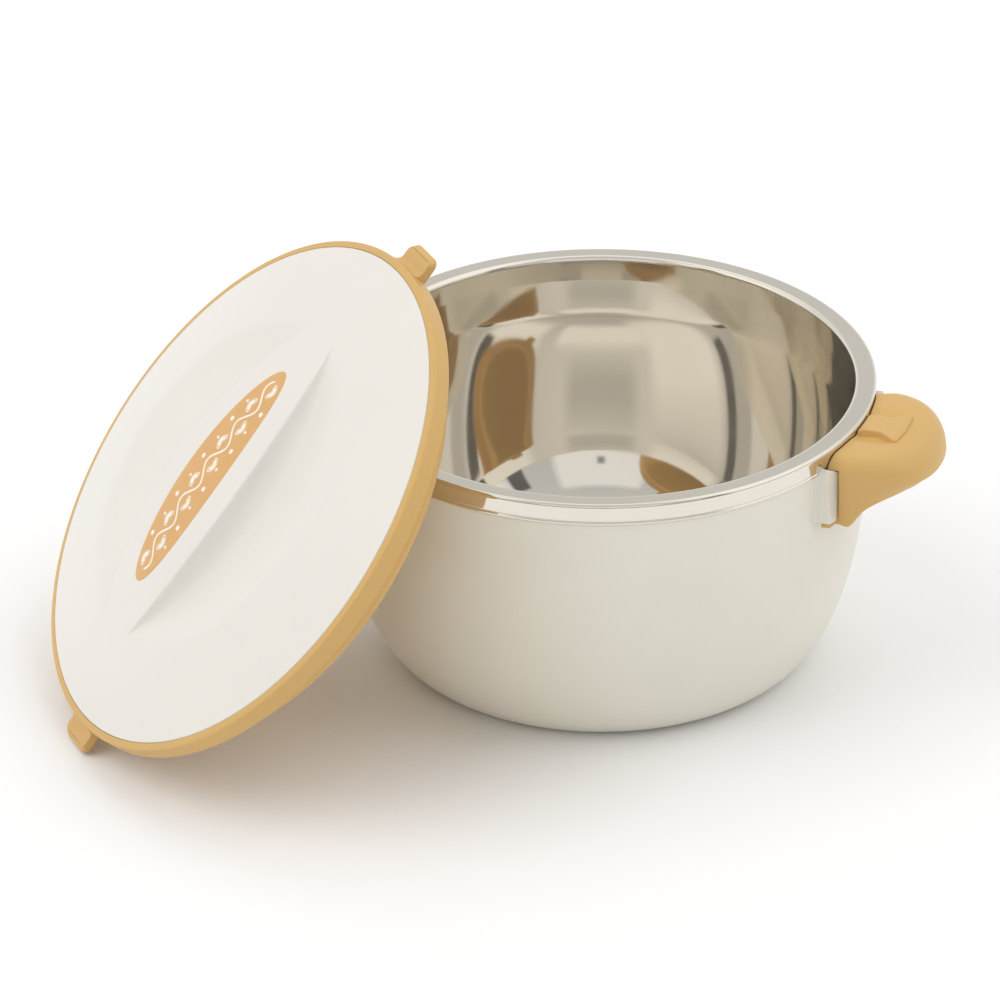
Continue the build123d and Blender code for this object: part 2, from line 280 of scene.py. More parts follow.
def loft(loops):
    """Closed loops of equal length, joined one after another, with a face over each end."""
    count, total = len(loops[0]), len(loops) * len(loops[0])
    faces = grid_faces(len(loops), count, wrap_columns=True)
    return np.concatenate(loops), [*faces, tuple(range(count)), tuple(range(total - count, total))]


def skirted(points, faces, rim, rings):
    """A patch of faces whose rim goes on in rings of points. One face closes the last ring."""
    last, total = rim, len(points)
    for ring in rings:
        new = range(total, total + len(ring))
        faces = faces + ring_faces(last, new)
        last, total = new, total + len(ring)
    return np.concatenate([points, *rings]), [*faces, tuple(last)]


def lathe(section, segments):
    """Solid turned about Z from a section of (radius, height) that closes, or starts and ends on the axis."""
    on_axis = section[0][0] < 1e-9
    body = section[1:-1] if on_axis else section
    turn = np.arange(segments) / segments * TURN
    ring = np.stack([np.cos(turn), np.sin(turn)], 1)
    points = np.concatenate([np.column_stack([r * ring, np.full(segments, z)]) for r, z in body])
    faces = grid_faces(len(body), segments, wrap_rows=not on_axis, wrap_columns=True)
    if on_axis:
        last = len(points)
        points = np.vstack([points, [0, 0, section[0][1]], [0, 0, section[-1][1]]])
        tail = (len(body) - 1) * segments
        for j in range(segments):
            j2 = (j + 1) % segments
            faces.append((last, j2, j))
            faces.append((last + 1, tail + j, tail + j2))
    return points, faces


def prism(plan, low, high, edge):
    """Upright solid over a closed plan, its top and bottom edges rounded."""
    after = np.roll(plan, -1, 0) - plan
    before = plan - np.roll(plan, 1, 0)
    way = after / np.linalg.norm(after, axis=1)[:, None] + before / np.linalg.norm(before, axis=1)[:, None]
    normal = np.stack([way[:, 1], -way[:, 0]], 1) / np.linalg.norm(way, axis=1)[:, None]
    levels = []
    for a in np.linspace(QUARTER, 0, 4):
        levels.append((low + edge * (1 - math.sin(a)), edge * (1 - math.cos(a))))
    levels += [(low + high - z, inset) for z, inset in levels[::-1]]
    return loft([np.column_stack([plan - normal * inset, np.full(len(plan), z)]) for z, inset in levels])


def round_patch(cells):
    """Points of a square grid pressed into a disc of radius 1, its quads, and its rim's vertex numbers."""
    span = np.linspace(-1, 1, cells + 1)
    a, b = np.meshgrid(span, span, indexing="ij")
    upright = np.abs(a) >= np.abs(b)
    first, second = np.where(upright, a, b), np.where(upright, b, a)
    bend = second / np.where(first == 0, 1, first) * math.pi / 4
    long_leg, short_leg = first * np.cos(bend), first * np.sin(bend)
    x = np.where(upright, long_leg, short_leg)
    y = np.where(upright, short_leg, long_leg)
    size = cells + 1
    rim = [i * size for i in range(size)]
    rim += [cells * size + j for j in range(1, size)]
    rim += [i * size + cells for i in range(cells - 1, -1, -1)]
    rim += list(range(cells - 1, 0, -1))
    return np.stack([x.ravel(), y.ravel()], 1), grid_faces(size, size), rim


def joined(*parts):
    """Several (points, faces) as one."""
    points, faces, first = [], [], 0
    for some_points, some_faces in parts:
        points.append(np.asarray(some_points, float))
        faces += [tuple(first + k for k in face) for face in some_faces]
        first += len(some_points)
    return np.concatenate(points), faces


def new_object(name, points, faces, merge=0.0):
    """A mesh object with all its faces turned outwards."""
    mesh = bpy.data.meshes.new(name)
    mesh.from_pydata([tuple(p) for p in points], [], faces)
    piece = bpy.data.objects.new(name, mesh)
    bpy.context.scene.collection.objects.link(piece)
    work = bmesh.new()
    work.from_mesh(mesh)
    if merge:
        bmesh.ops.remove_doubles(work, verts=work.verts, dist=merge)
    bmesh.ops.recalc_face_normals(work, faces=work.faces)
    work.to_mesh(mesh)
    work.free()
    return piece


def apply_modifiers(piece):
    """Replace the object's mesh by what its modifiers make of it."""
    bpy.context.view_layer.update()
    graph = bpy.context.evaluated_depsgraph_get()
    mesh = bpy.data.meshes.new_from_object(piece.evaluated_get(graph))
    piece.modifiers.clear()
    piece.data = mesh


def combine(piece, other, operation):
    """Exact boolean of two closed objects. The second one is used up."""
    modifier = piece.modifiers.new("cut", "BOOLEAN")
    modifier.operation = operation
    modifier.solver = "EXACT"
    modifier.object = other
    apply_modifiers(piece)
    bpy.data.objects.remove(other)


def soften(piece, width, degrees):
    """Round the object's sharp edges."""
    modifier = piece.modifiers.new("edges", "BEVEL")
    modifier.width = width
    modifier.segments = 3
    modifier.limit_method = "ANGLE"
    modifier.angle_limit = math.radians(degrees)
    apply_modifiers(piece)


def finish_piece(piece, material, body, node, sharp=40):
    """Shade a piece, give it its material, hide the frame's part that it stands for, and tie it to its body.
    """
    piece.data.shade_smooth()
    piece.data.set_sharp_from_angle(angle=math.radians(sharp))
    piece.data.materials.clear()
    piece.data.materials.append(material)
    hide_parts(node)
    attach(piece, body)


def lean(piece, l):
    """Move a piece that was made in the lid's own frame to where the lid leans."""
    turn = Matrix.Rotation(l.azimuth, 4, "Z") @ Matrix.Rotation(l.tilt, 4, "Y")
    piece.data.transform(Matrix.Translation(l.place) @ turn @ Matrix.Rotation(l.twist, 4, "Z"))


# Materials


class Socket:
    """An output of a node. Sums with it add Math nodes."""

    def __init__(self, shader, output):
        self.shader = shader
        self.output = output

    def __rsub__(self, other):
        return self.shader.math("SUBTRACT", other, self)


def math_method(operation):
    """A method of a socket that adds one kind of Math node."""
    return lambda socket, other=None: socket.shader.math(operation, socket, other)


for name, operation in (
    ("__add__", "ADD"),
    ("__sub__", "SUBTRACT"),
    ("__mul__", "MULTIPLY"),
    ("__truediv__", "DIVIDE"),
    ("__pow__", "POWER"),
    ("__abs__", "ABSOLUTE"),
    ("__lt__", "LESS_THAN"),
    ("__gt__", "GREATER_THAN"),
    ("lowest", "MINIMUM"),
    ("highest", "MAXIMUM"),
):
    setattr(Socket, name, math_method(operation))


def opaque(value):
    """A colour with its fourth number. A socket stays as it is."""
    return value if isinstance(value, Socket) or len(value) == 4 else (*value, 1)


def shade(base, amount):
    """A lighter or darker form of a colour."""
    return tuple(min(1.0, c * amount) for c in base)


class Shader:
    """A node tree that is built up in code: a new material's, or one that is handed in."""

    def __init__(self, name, tree=None):
        if tree is None:
            self.material = bpy.data.materials.new(name)
            self.material.use_nodes = True
            tree = self.material.node_tree
        self.tree = tree
        tree.nodes.clear()

    def add(self, kind, settings=None, sockets=None, out=0):
        """Add one node: its settings first, then the values or links of its sockets."""
        node = self.tree.nodes.new(kind)
        for key, value in (settings or {}).items():
            setattr(node, key, value)
        for key, value in (sockets or {}).items():
            if isinstance(value, Socket):
                self.tree.links.new(value.output, node.inputs[key])
            elif value is not None:
                node.inputs[key].default_value = value
        return Socket(self, node.outputs[out]) if len(node.outputs) else None

    def math(self, operation, first, second=None):
        """One Math node on numbers or sockets."""
        return self.add("ShaderNodeMath", {"operation": operation}, {0: first, 1: second})

    def place(self):
        """Where a point of the piece lies at rest, in metres."""
        return self.add("ShaderNodeTexCoord", out=3)

    def parts(self, vector):
        """The three numbers of a vector."""
        split = self.add("ShaderNodeSeparateXYZ", {}, {0: vector})
        return [Socket(self, output) for output in split.output.node.outputs]

    def vector(self, x, y, z):
        return self.add("ShaderNodeCombineXYZ", {}, {0: x, 1: y, 2: z})

    def noise(self, where, scale, detail=2.0, roughness=0.5):
        """Soft noise from 0 to 1 with details of about 1 / scale metres."""
        sockets = {"Vector": where, "Scale": scale, "Detail": detail, "Roughness": roughness}
        return self.add("ShaderNodeTexNoise", {"noise_dimensions": "3D"}, sockets)

    def cells(self, where, scale):
        """Distance to the middle of the nearest cell."""
        return self.add("ShaderNodeTexVoronoi", {}, {"Vector": where, "Scale": scale})

    def spread(self, value, low, high, new_low=0, new_high=1):
        """Map a range of numbers onto another one."""
        sockets = {0: value, 1: low, 2: high, 3: new_low, 4: new_high}
        return self.add("ShaderNodeMapRange", {"clamp": True}, sockets)

    def blend(self, mask, first, second):
        """Mix two colours."""
        sockets = {0: mask, 6: opaque(first), 7: opaque(second)}
        return self.add("ShaderNodeMix", {"data_type": "RGBA"}, sockets, out=2)

    def bump(self, height, distance, strength):
        return self.add("ShaderNodeBump", {}, {"Height": height, "Distance": distance, "Strength": strength})

    def surface(self, **sockets):
        """Finish with one Principled shader."""
        named = {key.replace("_", " ").title().replace("Ior", "IOR"): value for key, value in sockets.items()}
        shader = self.add("ShaderNodeBsdfPrincipled", {}, named)
        self.add("ShaderNodeOutputMaterial", {}, {"Surface": shader})
        return self.material


def polished_steel(finishes):
    """Mirror-polished sheet with faint turning lines, wipe marks and a little unevenness."""
    s = Shader("mirror_steel")
    place = s.place()
    x, y, z = s.parts(place)
    radius = (x * x + y * y) ** 0.5
    lines = s.noise(s.vector(radius * 2600, z * 2600, 0), 1.0, 3.0)
    wipes = s.noise(place, 38, 4.0, 0.6)
    waves = s.noise(place, 9, 1.0)
    return s.surface(
        base_color=s.blend(s.spread(waves, 0.3, 0.7), finishes.steel[:], shade(finishes.steel[:], 0.96)),
        metallic=0.93,
        roughness=s.spread(wipes, 0.35, 0.75, 0.03, 0.085),
        normal=s.bump(lines * 0.03 + waves * 0.6, 0.00012, 0.5),
    )


def moulded(name, base, fine, rough, pearl=0.0, coat=0.0):
    """Moulded plastic with a fine texture, slight flow shades and a soft gloss."""
    s = Shader(name)
    place = s.place()
    flow = s.noise(place, 14, 3.0)
    grain = s.noise(place, fine, 2.0, 0.6)
    flakes = s.cells(place, fine * 1.6)
    shades = s.spread(flow, 0.3, 0.7) * 0.6 + s.spread(flakes, 0.1, 0.9) * 0.4
    return s.surface(
        base_color=s.blend(shades, shade(base, 1.0 + pearl), shade(base, 0.955 - pearl)),
        roughness=s.spread(grain, 0.3, 0.7, rough - 0.04, rough + 0.05),
        ior=1.49,
        coat_weight=coat,
        coat_roughness=0.12,
        normal=s.bump(grain * 0.7 + flow * 0.6, 0.00004, 0.6),
    )


def rigid_foam(finishes):
    """Closed-cell foam: pale, matt and full of small pores."""
    s = Shader("closed_cell_foam")
    place = s.place()
    pores = s.cells(place, 900)
    flow = s.noise(place, 40, 4.0)
    return s.surface(
        base_color=s.blend(s.spread(pores, 0.0, 0.6), shade(finishes.foam[:], 0.82), finishes.foam[:]),
        roughness=s.spread(flow, 0.3, 0.7, 0.85, 0.97),
        normal=s.bump(pores * 0.8 + flow, 0.0004, 0.7),
    )


def vine(s, along, across):
    """Mask of a generic vine on a map in millimetres: wavy stem, a leaf in each bend, berries, beads."""
    wave = 21.0
    phase = along * (TURN / wave)
    swing = s.math("SINE", phase)
    steepness = s.math("COSINE", phase)
    stem_half, stem_swing = 0.55, 3.4
    beside = abs(across - swing * stem_swing)
    stem = beside * s.math("INVERSE_SQRT", steepness * steepness * 1.03 + 1.0) < stem_half
    side = across * s.math("SIGN", swing)
    step = s.math("PINGPONG", along - wave / 4, wave / 4)
    leaf_along = step * 0.82 + side * 0.57 + 1.1
    leaf_across = step * 0.57 - side * 0.82 - 3.6
    leaf = (leaf_along * leaf_along / 9.6 + leaf_across * leaf_across / 2.6) ** 0.5
    leaves = (leaf < 1.0) * ((leaf < 0.62) + (leaf > 0.80)).lowest(1.0)
    marks = stem.highest(leaves)
    for middle, radius in ((8.1, 1.25), (-7.6, 0.8)):
        off = side - middle
        marks = marks.highest((step * step + off * off) ** 0.5 < radius)
    return marks


def printed_inlay(finishes):
    """Ochre inlay with a generic printed vine that stops short of the inlay's edge."""
    s = Shader("inlay_print")
    along, across, _ = s.parts(s.add("ShaderNodeUVMap", {"uv_map": "print"}))
    inside = (abs(along) < 51.5) * (along * along / 3100 + across * across / 165 < 1.0)
    place = s.place()
    wear = s.noise(place, 2600, 3.0)
    flow = s.noise(place, 60, 3.0)
    ink = vine(s, along, across) * inside * s.spread(wear, 0.25, 0.45, 0.72, 1.0)
    ground = s.blend(s.spread(flow, 0.3, 0.7), finishes.inlay[:], shade(finishes.inlay[:], 0.95))
    return s.surface(
        base_color=s.blend(ink, ground, finishes.print[:]),
        roughness=s.spread(ink, 0, 1, 0.3, 0.4),
        ior=1.49,
        normal=s.bump(ink * 0.5 + wear * 0.1, 0.00003, 0.5),
    )


def pale_floor(finishes):
    """Plain pale floor with the faintest mottling."""
    s = Shader("pale_floor")
    flow = s.noise(s.place(), 3, 2.0)
    tint = s.blend(s.spread(flow, 0.3, 0.7), finishes.floor[:], shade(finishes.floor[:], 0.995))
    return s.surface(base_color=tint, roughness=0.9)


def materials(scene):
    """Every material of the object, made once."""
    finishes = scene.bowl_finishes
    if not MATERIALS:
        MATERIALS["steel"] = polished_steel(finishes)
        MATERIALS["pearl"] = moulded("moulded_pearl", finishes.pearl[:], 2400, 0.34, pearl=0.02, coat=0.25)
        MATERIALS["cream"] = moulded("moulded_cream", finishes.cream[:], 1800, 0.32)
        MATERIALS["ochre"] = moulded("moulded_ochre", finishes.ochre[:], 2000, 0.42)
        MATERIALS["foam"] = rigid_foam(finishes)
        MATERIALS["inlay"] = printed_inlay(finishes)
    return MATERIALS


# The bowl

# Plans of the lug on +X and +Y at its foot, widest place and top: x, y and corner radius in millimetres
LUG_FOOT = (
    (110, 33.4, 0), (124.7, 33.5, 0.5), (122.7, 38.9, 0.7),
    (116.6, 38.9, 1.2), (114.6, 39.7, 0.8), (110, 41.4, 0),
)
LUG_WIDE = (
    (110, 33.4, 0), (125.3, 33.5, 0.5), (121.7, 40.3, 0.7),
    (117.4, 40.9, 1.2), (115.0, 42.0, 0.8), (110, 43.9, 0),
)
LUG_TOP = (
    (110, 33.4, 0), (125.4, 33.5, 0.5), (121.7, 40.2, 0.7),
    (118.6, 39.8, 0.5), (117.4, 38.4, 0.5), (110, 39.0, 0),
)
# Levels of a lug: share of its height, the two plans mixed there, how far, and how far they are set in
LUG_LEVELS = (
    (0, LUG_FOOT, LUG_FOOT, 0, 0.7),
    (0.012, LUG_FOOT, LUG_WIDE, 0.012, 0.2),
    (0.035, LUG_FOOT, LUG_WIDE, 0.035, 0),
    *((share, LUG_FOOT, LUG_WIDE, share / 0.9, 0) for share in (0.25, 0.5, 0.75, 0.9)),
    (0.97, LUG_WIDE, LUG_TOP, 0.8, 0),
    (0.99, LUG_WIDE, LUG_TOP, 1, 0.2),
    (1, LUG_WIDE, LUG_TOP, 1, 0.6),
)


def pan_curve(b, wall_z, grow):
    """The pan from the axis up to the wall, pushed outwards by the sheet's thickness."""
    high, bend = wall_z - b.floor_height, 2 / b.floor_curve
    angles = np.linspace(0, QUARTER, 56)[1:]
    r = b.floor_radius + (b.wall_radius - b.floor_radius) * np.sin(angles) ** bend
    curve = np.stack([r, wall_z - high * np.cos(angles) ** bend], 1)
    way = np.gradient(curve, axis=0)
    way /= np.linalg.norm(way, axis=1)[:, None]
    way[-1] = [0, 1]
    curve += np.stack([way[:, 1], -way[:, 0]], 1) * grow
    z = b.floor_height - grow
    return [(0, z), *[(r, z) for r in np.linspace(6 * MM, b.floor_radius, 12)], *curve]


def liner_section(b):
    """Closed section of the drawn liner: inside, rim, grooved outer band, and the back of the sheet."""
    wall_z, neck_z, low = b.height - b.wall_drop, b.height - b.neck, b.height - b.band
    neck_r = b.mouth_radius - b.neck_step
    t, out, hem, groove_z = b.steel, b.rim_radius, b.rim_radius - b.hem, low + b.groove_top
    rim = rounded([
        (b.wall_radius, wall_z, 0),
        (neck_r, neck_z, 1.5 * MM),
        (b.mouth_radius, b.height, b.rim_lip),
        (out, b.height, b.rim_edge),
        (out, groove_z, 0.5 * MM),
        (out - b.groove_depth, groove_z - b.groove_width / 2, 0.2 * MM),
        (hem, groove_z - b.groove_width, 0.3 * MM),
        (hem, low, 0.4 * MM),
        (out - 2 * t, low, 0.4 * MM),
        (out - 2 * t, b.height - t, b.rim_edge - 0.5 * t),
        (b.mouth_radius + t, b.height - t, b.rim_lip),
        (neck_r + t, neck_z, 1.5 * MM),
        (b.wall_radius + t, wall_z, 0),
    ], 7)
    return [*pan_curve(b, wall_z, 0)[:-1], *split_long(rim, 2.5 * MM), *pan_curve(b, wall_z, t)[-2::-1]]


def shell_section(b):
    """Closed section of the plastic shell, with its foot ring and the lip under the steel rim."""
    wall_z = b.height - b.shell_curve_drop
    top_z = b.height - b.rim_edge - CLEARANCE
    band_z = b.height - b.band
    t, wide, lip = b.shell_wall, b.shell_low_radius - b.base_radius, b.shell_radius - b.shell_step
    middle = (b.base_radius, wall_z)
    outside = ellipse_run(middle, wide, wall_z, -QUARTER, 0, 48)
    inside = ellipse_run(middle, wide - t, wall_z - b.foot_height - t, 0, -QUARTER, 40)
    foot = rounded([
        (0, b.foot_height, 0),
        (b.base_radius - b.foot_width, b.foot_height, 1 * MM),
        (b.base_radius - b.foot_width, 0, 0.8 * MM),
        (b.base_radius, 0, 0),
    ], 4)
    upper = rounded([
        (b.shell_low_radius, wall_z, 0),
        (b.shell_radius, band_z - 0.5 * MM, 0.8 * MM),
        (lip, band_z + CLEARANCE, 0.4 * MM),
        (lip, top_z, 0.5 * MM),
        (b.shell_radius - t, top_z, 0.5 * MM),
        (b.shell_radius - t, band_z, 2 * MM),
        (b.shell_low_radius - t, wall_z, 0),
    ], 4)
    floor = [(0, b.foot_height + t)]
    return [*split_long(foot, 8 * MM)[:-1], *outside[:-1], *split_long(upper, 3 * MM), *inside[1:], *floor]


def lug_form(b, h, side, end):
    """One lug of the shell. Its foot starts under the steel band, and its outer face turns to the handle."""
    low_z, high_z = b.height - h.lug_foot_drop, b.height - h.lug_drop
    loops = []
    for share, first, second, mix, inset in LUG_LEVELS:
        corners = []
        for (x1, y1, radius), (x2, y2, _) in zip(first, second):
            x, y = x1 + (x2 - x1) * mix, y1 + (y2 - y1) * mix
            corners.append(((x - inset * (x > 111)) * MM, (y - inset * (y > 34)) * MM, radius * MM))
        x, y = rounded_loop(corners, 4).T
        slope = h.lug_slope * np.clip(h.lug_side - y, 0, 7.1 * MM)
        loops.append(np.column_stack([side * x, end * y, low_z + (high_z - slope - low_z) * share]))
    return loft(loops)


class BOWL_OT_liner(bpy.types.Operator):
    """Build the polished liner with its rim and outer band."""

    bl_idname = "serving_bowl.liner"
    bl_label = "Polished liner"

    def execute(self, context):
        piece = new_object("polished_liner", *lathe(liner_section(context.scene.bowl_sizes), 288))
        steel = materials(context.scene)["steel"]
        finish_piece(piece, steel, "bowl", "steel_liner", sharp=60)
        return {"FINISHED"}


class BOWL_OT_shell(bpy.types.Operator):
    """Build the pearl shell with its foot ring and its four handle lugs."""

    bl_idname = "serving_bowl.shell"
    bl_label = "Pearl shell"

    def execute(self, context):
        b, h = context.scene.bowl_sizes, context.scene.bowl_handle_sizes
        lugs = [lug_form(b, h, side, end) for side in (1, -1) for end in (1, -1)]
        piece = new_object("pearl_shell", *joined(lathe(shell_section(b), 256), *lugs))
        finish_piece(piece, materials(context.scene)["pearl"], "bowl", "outer_shell")
        return {"FINISHED"}


# The ear handles

# The lower edge of a handle: reach from the bowl's axis and drop from the rim's top, in millimetres
EDGE_REACH = (110, 129.6, 131, 132.5, 134.3, 137, 140, 143.5, 148, 152, 156, 170)
EDGE_DROP = (38, 38, 36.6, 35, 32.4, 29.0, 26.7, 24.8, 22.8, 21.5, 20.5, 20.3)
# Half of the pad's plan: x, y and corner radius in millimetres. The last point lies at the pad's reach
PAD_HALF = ((124, 8.4, 0), (126.3, 8.3, 0), (128.6, 8.1, 0), (131.5, 7.9, 0), (135.6, 7.6, 1.5))
PAD_CORNER_Y = 13.4
# Levels of the pad: share of its height, and how far its plan is drawn in towards its middle
PAD_LEVELS = ((0, 0), (0.5, 0), (0.93, 0), (0.975, 0.012), (1, 0.045), (1, 0.3), (1, 0.6), (1, 0.9))


def crown_drop(h, x):
    """Drop of the handle's crown from the rim's top: nearly level beside the rim, round at the nose."""
    past = x - h.crest
    return h.crest_drop + past**2 / (2 * np.where(past > 0, h.crown_nose, h.crown_rim))


def ear_outline(h, steps):
    """Plan of the handle from one end to the other, with its outward normals."""
    straight = np.linspace(h.root, h.centre, 9)[:-1]
    angles = np.linspace(-QUARTER, QUARTER, steps)
    wide_x, wide_y = h.nose - h.centre, h.half_width
    narrow = 1 - h.narrowing * ramp(straight, 131 * MM, 125 * MM) ** 2
    away, aside = np.maximum(np.cos(angles), 0), np.sin(angles)
    bend = 2 / h.outline
    curve = np.stack([h.centre + wide_x * away**bend, wide_y * np.sign(aside) * np.abs(aside) ** bend], 1)
    normal = np.stack([away ** (2 - bend) / wide_x, np.sign(aside) * np.abs(aside) ** (2 - bend) / wide_y], 1)
    normal /= np.linalg.norm(normal, axis=1)[:, None]
    first = np.stack([straight, -wide_y * narrow], 1)
    out = np.array([[0, -1.0]] * len(straight))
    return np.concatenate([first, curve, first[::-1] * [1, -1]]), np.concatenate([out, normal, -out])


def ear_form(b, h):
    """The hollow handle on +X as a closed skin, still long enough to reach into the bowl's wall."""
    outer, normal = ear_outline(h, 61)
    round_share = smooth(ramp(outer[:, 0], 129 * MM, 146 * MM))
    middle = np.stack([np.clip(outer[:, 0], 0, h.nose - 22 * MM), np.zeros(len(outer))], 1)

    def top_at(plan, inset):
        """Height of the crown with its two valleys beside the pad."""
        x, y = plan.T
        beside = np.exp(-(((np.abs(y) - 10.5 * MM) / (5 * MM)) ** 2))
        near = ramp(x, 146 * MM, 137 * MM) * ramp(x, 122.5 * MM, 127.5 * MM)
        return b.height - crown_drop(h, x) - inset - h.valley * beside * smooth(near)

    def skin(inset, shoulder):
        """Rows of the crown from its middle line out to the side."""
        radius = (shoulder - 1.5 * MM * (1 - round_share))[:, None]
        edge = outer - normal * (inset + radius)
        made = []
        for share in np.linspace(1, 0, 29)[:-1]:
            plan = edge + (middle - edge) * share
            made.append((plan, top_at(plan, inset)))
        for a in np.linspace(0, QUARTER, 11):
            plan = edge + normal * radius * math.sin(a)
            made.append((plan, top_at(plan, inset) - radius[:, 0] * (1 - math.cos(a))))
        return made

    rows = skin(0, h.shoulder)
    side_top = rows[-1][1]
    low = b.height - np.interp(outer[:, 0], np.array(EDGE_REACH) * MM, np.array(EDGE_DROP) * MM)
    for share in np.linspace(0, 1, 8)[1:]:
        stand = h.bulge * math.sin(math.pi * 1.6 * share) if share < 0.625 else 0
        plan = outer - normal * (h.curl * share**2 - stand * round_share[:, None])
        rows.append((plan, side_top + (low + h.lip - side_top) * share))
    foot = rows[-1][0]
    for a in np.linspace(0, math.pi, 8)[1:]:
        plan = foot - normal * h.skin / 2 * (1 - math.cos(a))
        rows.append((plan, low + h.lip * (1 - math.sin(a))))
    inner = skin(h.skin, h.shoulder - 0.6 * h.skin)
    plan, inner_top = inner[-1]
    start = rows[-1][0]
    for share in np.linspace(0, 1, 6)[1:-1]:
        rows.append((start + (plan - start) * share, low + h.lip + (inner_top - low - h.lip) * share))
    rows += inner[::-1]
    points = np.concatenate([np.column_stack([plan, z]) for plan, z in rows])
    count = len(outer)
    faces = grid_faces(len(rows), count)
    for column in (0, count - 1):
        faces.append(tuple(i * count + column for i in range(len(rows))))
    return points, faces


def pad_form(b, h):
    """The flat pad on the handle. It widens outwards, and its outer edge sinks into the crown."""
    reach = h.pad_reach
    half = [*PAD_HALF, (reach / MM, PAD_CORNER_Y, 1.0)]
    top = half + [(x, -y, r) for x, y, r in half[::-1]]
    foot = [(x + 0.9 * (x > 140), y + 2.2 * (1 if y > 0 else -1), r) for x, y, r in top]
    plans = []
    for points in (foot, top):
        plan = rounded_loop([(x * MM, y * MM, r * MM) for x, y, r in points[::-1]], 4)
        plan = np.concatenate([np.linspace(p, q, 4)[:-1] for p, q in zip(plan, np.roll(plan, -1, 0))])
        crown = np.clip(1 - (plan[:, 1] / (14 * MM)) ** 2, 0, 1) * 1.4 * MM
        plan[:, 0] += np.where(plan[:, 0] > reach - 1 * MM, crown, 0)
        plans.append(plan)
    foot, top = plans
    low_z, top_z = b.height - 9 * MM, b.height - h.pad_drop
    centre = np.array([reach - 9 * MM, 0])
    loops = []
    for share, inset in PAD_LEVELS:
        plan = foot + (top - foot) * share
        plan = plan + (centre - plan) * inset
        sink = ramp(plan[:, 0], 136 * MM, reach, 1.2) ** 2 * 0.15 * MM
        sink += ramp(plan[:, 0], 128 * MM, 125.6 * MM) ** 2 * 1.4 * MM
        loops.append(np.column_stack([plan, low_z + (top_z - low_z) * share - sink * share]))
    return loft(loops)


def back_rib(b, h):
    """The handle's back: a curved plate along the shell that closes the slit under the rim."""
    gap = 0.35 * MM
    low, high = b.height - 36 * MM, b.height - b.band - 1.2 * MM
    outer = b.rim_radius + 2.4 * MM
    section = [(b.shell_low_radius + gap, low), (b.shell_low_radius + gap, b.height - b.shell_curve_drop)]
    section += [(b.shell_radius + gap, high), (outer, high), (outer, low)]
    turns = np.linspace(-1, 1, 33) * math.asin((h.half_width - 5.4 * MM) / (b.rim_radius + h.gap))
    return loft([[(r * math.cos(a), r * math.sin(a), z) for r, z in section] for a in turns])


def snap_foot(b, end):
    """A small foot of the handle that hooks under its lug."""
    corners = ((118.5, 30), (124.2, 30), (122.6, 37.6), (118.5, 38.6))
    plan = rounded_loop([(x * MM, y * end * MM, 0.6 * MM) for x, y in corners[::end]], 3)
    return prism(plan, b.height - 37.6 * MM, b.height - 35.9 * MM, 0.4 * MM)


def lug_room(b, h, end):
    """The space that a handle leaves for a lug, with the lug's sloped top."""
    plan = np.array([(100, 33.15), (125.75, 33.15), (125.75, 50), (100, 50)]) * MM * [1, end]
    low_z, high_z = b.height - h.lug_foot_drop - CLEARANCE, b.height - h.lug_drop + CLEARANCE
    points, faces = prism(plan[::end], low_z, high_z, 0.01 * MM)
    upper = points[:, 2] > b.height - 20 * MM
    points[:, 2] -= upper * h.lug_slope * np.maximum(h.lug_side - np.abs(points[:, 1]), -10 * MM)
    return points, faces


def bowl_room(b, h):
    """The space that a handle leaves for the bowl's wall and rim, as a turned solid."""
    low, high = 90 * MM, b.height + 5 * MM
    band_z = b.height - b.band - CLEARANCE
    shell_r, rim_r = b.shell_radius + CLEARANCE, b.rim_radius + h.gap
    section = [(0, low), (b.shell_low_radius + 0.2 * MM, low), (shell_r, band_z), (rim_r, band_z)]
    return lathe(np.array([*section, (rim_r, high), (0, high)]), 256)


class BOWL_OT_handles(bpy.types.Operator):
    """Build the two ear handles with their flat pads."""

    bl_idname = "serving_bowl.handles"
    bl_label = "Ear handles"

    def execute(self, context):
        b, h = context.scene.bowl_sizes, context.scene.bowl_handle_sizes
        body = new_object("ear_body", *ear_form(b, h), merge=0.001 * MM)
        combine(body, new_object("pad", *pad_form(b, h)), "UNION")
        combine(body, new_object("room", *bowl_room(b, h)), "DIFFERENCE")
        for end in (1, -1):
            combine(body, new_object("lug_room", *lug_room(b, h, end)), "DIFFERENCE")
        own = [v.co[:] for v in body.data.vertices], [f.vertices[:] for f in body.data.polygons]
        bpy.data.objects.remove(body)
        form = joined(own, back_rib(b, h), snap_foot(b, 1), snap_foot(b, -1))
        ochre = materials(context.scene)["ochre"]
        for side, turn in (("right", 0), ("left", math.pi)):
            piece = new_object("ear_handle_" + side, *form)
            piece.data.transform(Matrix.Rotation(turn, 4, "Z"))
            finish_piece(piece, ochre, "bowl", "handle_" + side, sharp=32)
        return {"FINISHED"}


# The lid

DISH_PAST = 9 * MM
OUTER_ROWS, NEAR_ROWS, CREST_ROWS = 26, 53, 25


def dome_height(l, r):
    """Height of the lid's dome at a radius."""
    rise = l.dome_top - l.dome_edge
    sphere = (l.dome_radius**2 + rise**2) / (2 * rise)
    return l.dome_top - sphere + np.sqrt(sphere**2 - r**2)


def dish_height(l, r):
    """Height of the shallow dish that both scoops share, level from a little past its edge."""
    r = np.minimum(r, l.scoop_radius + DISH_PAST)
    edge_z = float(dome_height(l, l.scoop_radius))
    rise = edge_z - l.dome_top + l.scoop_depth
    radius = (l.scoop_radius**2 + rise**2) / (2 * rise)
    return edge_z - rise + radius - np.sqrt(np.maximum(radius**2 - r**2, 0))


